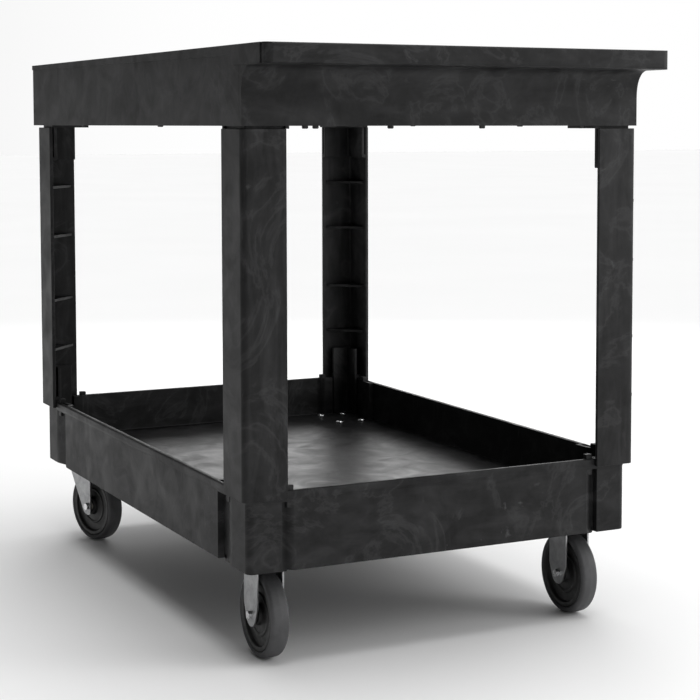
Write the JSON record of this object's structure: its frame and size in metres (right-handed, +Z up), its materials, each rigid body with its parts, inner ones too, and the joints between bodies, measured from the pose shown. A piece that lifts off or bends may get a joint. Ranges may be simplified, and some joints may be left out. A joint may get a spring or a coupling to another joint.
{
  "type": "food service trolley",
  "caption": "Two-level moulded plastic trolley: flat top shelf with a push ledge, lipped lower tray, angle-section legs, rigid casters at the ledge end and swivel casters at the other.",
  "frame": {"origin": "on the floor, under the middle of the trolley's outline", "axes": "+X towards the push ledge and the rigid casters, +Y to the left of somebody looking along +X, +Z up"},
  "size_m": [1.128, 0.655, 0.877],
  "materials": {
    "foam_plastic": "black structural foam, satin with moulding swirls and light scuffs",
    "zinc_steel": "stamped zinc-plated steel, satin",
    "bolt_steel": "bright zinc-plated steel",
    "tyre_rubber": "grey non-marking thermoplastic rubber, smooth tread",
    "hub_plastic": "black moulded polypropylene, satin",
    "bushing_plastic": "natural acetal"
  },
  "bodies": {
    "frame": {"top_shelf": "foam_plastic", "bottom_tray": "foam_plastic", "front_right_leg": "foam_plastic", "front_right_fork": "zinc_steel", "front_right_axle_bolt": "bolt_steel", "front_right_axle_nut": "bolt_steel", "front_right_bushing": "bushing_plastic", "front_right_plate_bolt_1": "bolt_steel", "front_right_plate_bolt_2": "bolt_steel", "front_right_plate_bolt_3": "bolt_steel", "front_right_plate_bolt_4": "bolt_steel", "front_left_leg": "foam_plastic", "front_left_fork": "zinc_steel", "front_left_axle_bolt": "bolt_steel", "front_left_axle_nut": "bolt_steel", "front_left_bushing": "bushing_plastic", "front_left_plate_bolt_1": "bolt_steel", "front_left_plate_bolt_2": "bolt_steel", "front_left_plate_bolt_3": "bolt_steel", "front_left_plate_bolt_4": "bolt_steel", "rear_right_leg": "foam_plastic", "rear_right_top_plate": "zinc_steel", "rear_right_ball_race": "zinc_steel", "rear_right_kingpin": "bolt_steel", "rear_right_plate_bolt_1": "bolt_steel", "rear_right_plate_bolt_2": "bolt_steel", "rear_right_plate_bolt_3": "bolt_steel", "rear_right_plate_bolt_4": "bolt_steel", "rear_left_leg": "foam_plastic", "rear_left_top_plate": "zinc_steel", "rear_left_ball_race": "zinc_steel", "rear_left_kingpin": "bolt_steel", "rear_left_plate_bolt_1": "bolt_steel", "rear_left_plate_bolt_2": "bolt_steel", "rear_left_plate_bolt_3": "bolt_steel", "rear_left_plate_bolt_4": "bolt_steel"},
    "front_right_wheel": {"front_right_tyre": "tyre_rubber", "front_right_hub": "hub_plastic"},
    "front_left_wheel": {"front_left_tyre": "tyre_rubber", "front_left_hub": "hub_plastic"},
    "rear_right_swivel": {"rear_right_fork": "zinc_steel", "rear_right_axle_bolt": "bolt_steel", "rear_right_axle_nut": "bolt_steel", "rear_right_bushing": "bushing_plastic"},
    "rear_right_wheel": {"rear_right_tyre": "tyre_rubber", "rear_right_hub": "hub_plastic"},
    "rear_left_swivel": {"rear_left_fork": "zinc_steel", "rear_left_axle_bolt": "bolt_steel", "rear_left_axle_nut": "bolt_steel", "rear_left_bushing": "bushing_plastic"},
    "rear_left_wheel": {"rear_left_tyre": "tyre_rubber", "rear_left_hub": "hub_plastic"}
  },
  "joints": [
    {"name": "front_right_wheel_spin", "type": "hinge", "parent": "frame", "child": "front_right_wheel", "pos_m": [0.395, -0.2605, 0.0635], "axis": [0, 1, 0], "continuous": true},
    {"name": "front_left_wheel_spin", "type": "hinge", "parent": "frame", "child": "front_left_wheel", "pos_m": [0.395, 0.2605, 0.0635], "axis": [0, 1, 0], "continuous": true},
    {"name": "rear_right_swivel_turn", "type": "hinge", "parent": "frame", "child": "rear_right_swivel", "pos_m": [-0.444, -0.2605, 0.153], "axis": [0, 0, 1], "continuous": true},
    {"name": "rear_right_wheel_spin", "type": "hinge", "parent": "rear_right_swivel", "child": "rear_right_wheel", "pos_m": [-0.41914, -0.2529, 0.0635], "axis": [-0.2924, 0.9563, 0], "continuous": true},
    {"name": "rear_left_swivel_turn", "type": "hinge", "parent": "frame", "child": "rear_left_swivel", "pos_m": [-0.444, 0.2605, 0.153], "axis": [0, 0, 1], "continuous": true},
    {"name": "rear_left_wheel_spin", "type": "hinge", "parent": "rear_left_swivel", "child": "rear_left_wheel", "pos_m": [-0.41914, 0.2681, 0.0635], "axis": [-0.2924, 0.9563, 0], "continuous": true}
  ]
}
